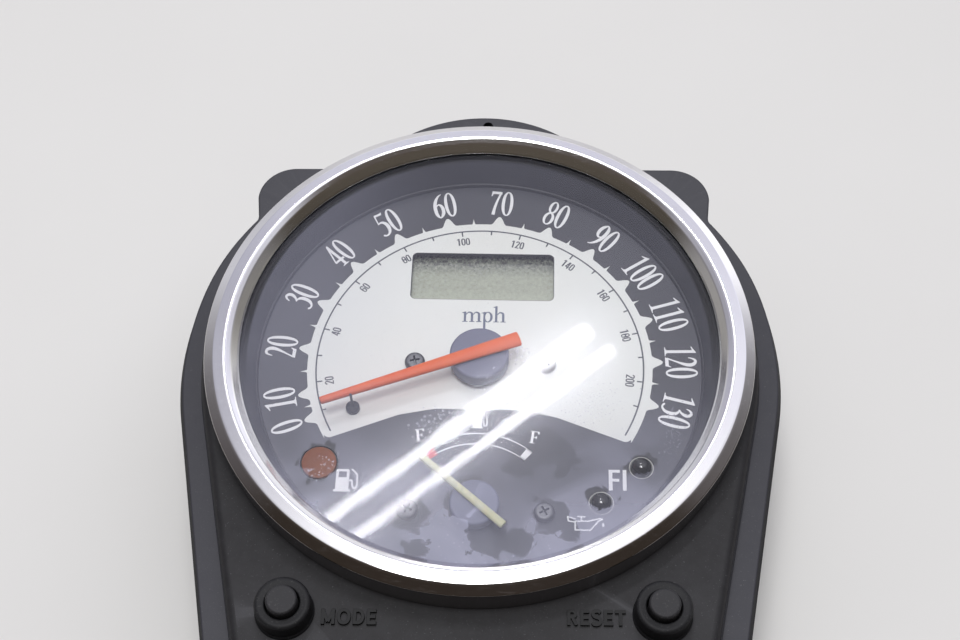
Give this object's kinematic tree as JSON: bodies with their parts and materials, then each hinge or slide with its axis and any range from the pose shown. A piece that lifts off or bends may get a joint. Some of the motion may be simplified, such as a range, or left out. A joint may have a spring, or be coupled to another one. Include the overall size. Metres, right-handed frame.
{
  "type": "motorcycle instrument cluster",
  "caption": "Round motorcycle speedometer with fuel gauge and display in a tear-drop cover, chrome ring, working pointers and two push buttons.",
  "frame": {"origin": "centre of the rear rest face, on the speed pointer's axis", "axes": "+Z out of the dial towards the rider, +Y towards 12 o'clock on the dial, +X towards 3 o'clock"},
  "size_m": [0.1354, 0.1788, 0.048],
  "materials": {
    "cover_plastic": "fine-grained moulded black plastic",
    "chrome": "polished chrome with faint swirl marks",
    "clear_lens": "clear window with light haze and fine droplets inside",
    "seal_rubber": "matt black rubber",
    "reveal_black": "satin black plastic",
    "dial_print": "screen-printed off-white panel and numerals on charcoal",
    "white_plastic": "white moulded plastic",
    "steel_screw": "black-plated steel",
    "pointer_red": "orange-red translucent plastic",
    "pointer_yellow": "pale yellow plastic",
    "hub_black": "matt black plastic",
    "lcd_glass": "grey-green display glass, unlit",
    "amber_lens": "unlit amber lamp lens",
    "lamp_resin": "tinted lamp resin",
    "board_green": "green circuit board",
    "motor_plastic": "black plastic",
    "gear_nylon": "natural nylon",
    "magnet": "plastic-bonded ferrite",
    "button_rubber": "satin black rubber",
    "smoke_lens": "smoked gloss lens",
    "brass": "turned brass",
    "case_plastic": "black glass-filled plastic",
    "tinned_pin": "tinned contacts"
  },
  "bodies": {
    "housing": {"bezel_ring": "chrome", "breather_plug": "seal_rubber", "case_screw_1": "steel_screw", "case_screw_2": "steel_screw", "case_screw_3": "steel_screw", "case_screw_4": "steel_screw", "case_screw_5": "steel_screw", "case_seal": "seal_rubber", "connector_pins": "tinned_pin", "connector_shell": "case_plastic", "dial_holder": "white_plastic", "dial_plate": "dial_print", "dial_screw_1": "steel_screw", "dial_screw_2": "steel_screw", "dial_screw_3": "steel_screw", "dial_screw_4": "steel_screw", "fi_lamp": "lamp_resin", "front_cover": "cover_plastic", "fuel_motor_case": "motor_plastic", "fuel_motor_cover": "motor_plastic", "indicator_lamp_1": "lamp_resin", "indicator_lamp_2": "lamp_resin", "indicator_lamp_3": "lamp_resin", "indicator_lens": "smoke_lens", "lcd_frame": "white_plastic", "lcd_panel": "lcd_glass", "lens": "clear_lens", "lens_seal": "seal_rubber", "low_fuel_lamp": "lamp_resin", "low_fuel_lens": "amber_lens", "main_board": "board_green", "microcontroller": "motor_plastic", "mode_boot": "button_rubber", "mode_switch": "motor_plastic", "mount_insert_left": "brass", "mount_insert_right": "brass", "mount_insert_top": "brass", "oil_lamp": "lamp_resin", "pointer_stop_pin": "hub_black", "rear_case": "case_plastic", "reset_boot": "button_rubber", "reset_switch": "motor_plastic", "reveal_ring": "reveal_black", "speed_motor_case": "motor_plastic", "speed_motor_cover": "motor_plastic"},
    "speed_hand": {"speed_hub_cap": "hub_black", "speed_pointer": "pointer_red", "speed_motor_gear": "gear_nylon"},
    "speed_idler": {"speed_motor_idler": "gear_nylon"},
    "speed_rotor": {"speed_motor_rotor": "magnet"},
    "fuel_hand": {"fuel_hub_cap": "hub_black", "fuel_pointer": "pointer_yellow", "fuel_motor_gear": "gear_nylon"},
    "fuel_idler": {"fuel_motor_idler": "gear_nylon"},
    "fuel_rotor": {"fuel_motor_rotor": "magnet"},
    "mode_key": {"mode_button": "button_rubber"},
    "mode_plunger": {"mode_switch_plunger": "hub_black"},
    "reset_key": {"reset_button": "button_rubber"},
    "reset_plunger": {"reset_switch_plunger": "hub_black"}
  },
  "joints": [
    {"name": "speed_hand_turn", "type": "hinge", "parent": "housing", "child": "speed_hand", "pos_m": [0, 0, 0.042], "axis": [0, 0, -1], "range_deg": [0, 216]},
    {"name": "speed_idler_turn", "type": "hinge", "parent": "housing", "child": "speed_idler", "pos_m": [0, 0.00832, 0.021], "axis": [0, 0, -1], "range_deg": [-648, 0]},
    {"name": "speed_rotor_turn", "type": "hinge", "parent": "housing", "child": "speed_rotor", "pos_m": [0, 0.0156, 0.021], "axis": [0, 0, -1], "range_deg": [0, 1620]},
    {"name": "fuel_hand_turn", "type": "hinge", "parent": "housing", "child": "fuel_hand", "pos_m": [0, -0.0363, 0.041], "axis": [0, 0, -1], "range_deg": [0, 86]},
    {"name": "fuel_idler_turn", "type": "hinge", "parent": "housing", "child": "fuel_idler", "pos_m": [0, -0.04462, 0.021], "axis": [0, 0, -1], "range_deg": [-258, 0]},
    {"name": "fuel_rotor_turn", "type": "hinge", "parent": "housing", "child": "fuel_rotor", "pos_m": [0, -0.0519, 0.021], "axis": [0, 0, -1], "range_deg": [0, 645]},
    {"name": "mode_press", "type": "slide", "parent": "housing", "child": "mode_key", "axis": [0, 0, -1], "range_m": [0, 0.001], "stiffness_N_per_m": 50, "springref_m": -0.001},
    {"name": "mode_plunger_press", "type": "slide", "parent": "housing", "child": "mode_plunger", "axis": [0, 0, -1], "range_m": [0, 0.001]},
    {"name": "reset_press", "type": "slide", "parent": "housing", "child": "reset_key", "axis": [0, 0, -1], "range_m": [0, 0.001], "stiffness_N_per_m": 50, "springref_m": -0.001},
    {"name": "reset_plunger_press", "type": "slide", "parent": "housing", "child": "reset_plunger", "axis": [0, 0, -1], "range_m": [0, 0.001]}
  ],
  "couplings": [
    {"joint": "speed_idler_turn", "follows": "speed_hand_turn", "ratio": -3},
    {"joint": "speed_rotor_turn", "follows": "speed_hand_turn", "ratio": 7.5},
    {"joint": "fuel_idler_turn", "follows": "fuel_hand_turn", "ratio": -3},
    {"joint": "fuel_rotor_turn", "follows": "fuel_hand_turn", "ratio": 7.5},
    {"joint": "mode_plunger_press", "follows": "mode_press", "ratio": 1},
    {"joint": "reset_plunger_press", "follows": "reset_press", "ratio": 1}
  ]
}
